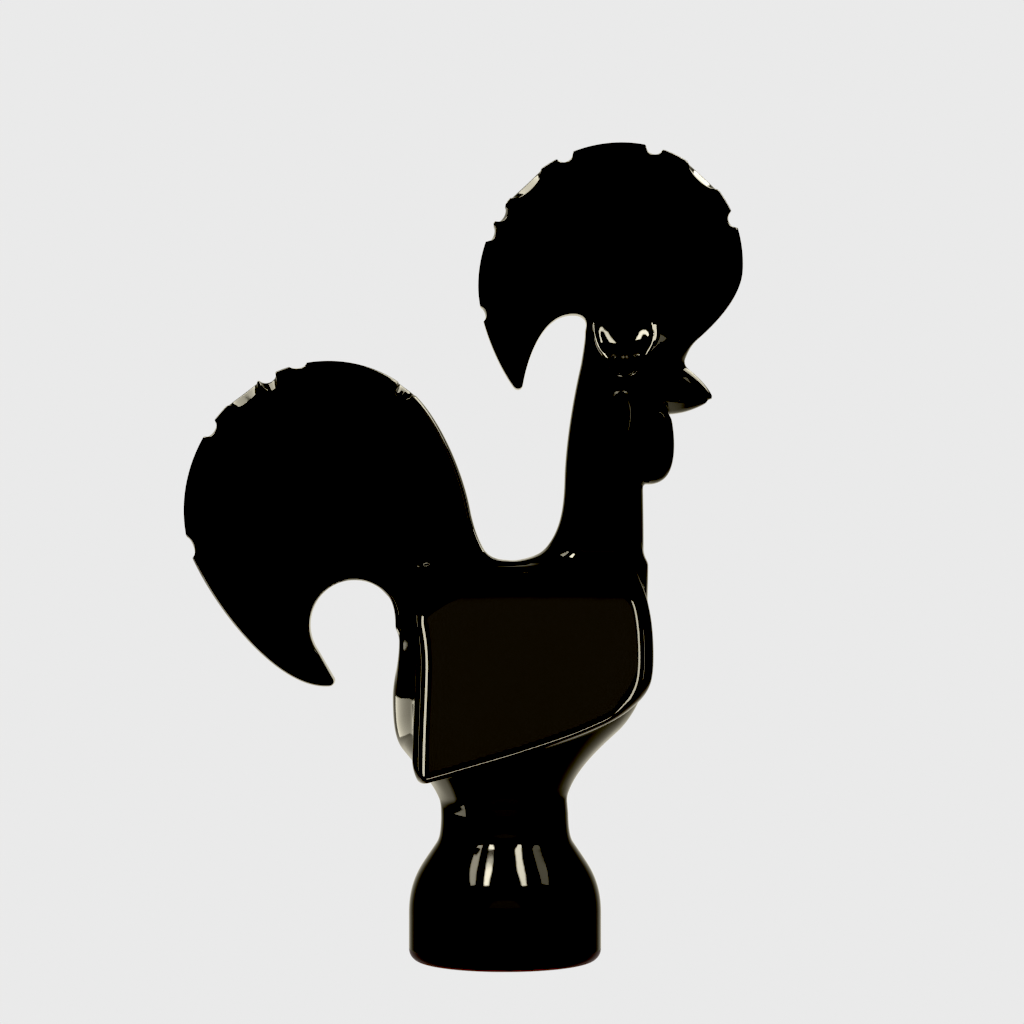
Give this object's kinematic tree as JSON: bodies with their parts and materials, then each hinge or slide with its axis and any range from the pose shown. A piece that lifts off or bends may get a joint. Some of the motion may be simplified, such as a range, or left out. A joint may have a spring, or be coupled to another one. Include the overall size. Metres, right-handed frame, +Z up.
{
  "type": "rooster of barcelos",
  "caption": "Folk ornament of a standing rooster in gloss glazed earthenware, with a scalloped comb and tail, raised wings and a hollow bell foot.",
  "frame": {"origin": "centre of the standing ring under the bell foot, on the ground", "axes": "+Z up, +X towards the beak, +Y towards the rooster's left"},
  "size_m": [0.1395, 0.048, 0.2041],
  "materials": {
    "black_glaze": "gloss"
  },
  "bodies": {
    "root": {"foot": "black_glaze", "torso": "black_glaze", "left_wing": "black_glaze", "right_wing": "black_glaze", "neck": "black_glaze", "head": "black_glaze", "comb": "black_glaze", "tail": "black_glaze", "upper_beak": "black_glaze", "lower_beak": "black_glaze", "left_wattle": "black_glaze", "right_wattle": "black_glaze", "left_eye": "black_glaze", "right_eye": "black_glaze", "left_ear_lobe": "black_glaze", "right_ear_lobe": "black_glaze"}
  },
  "joints": []
}
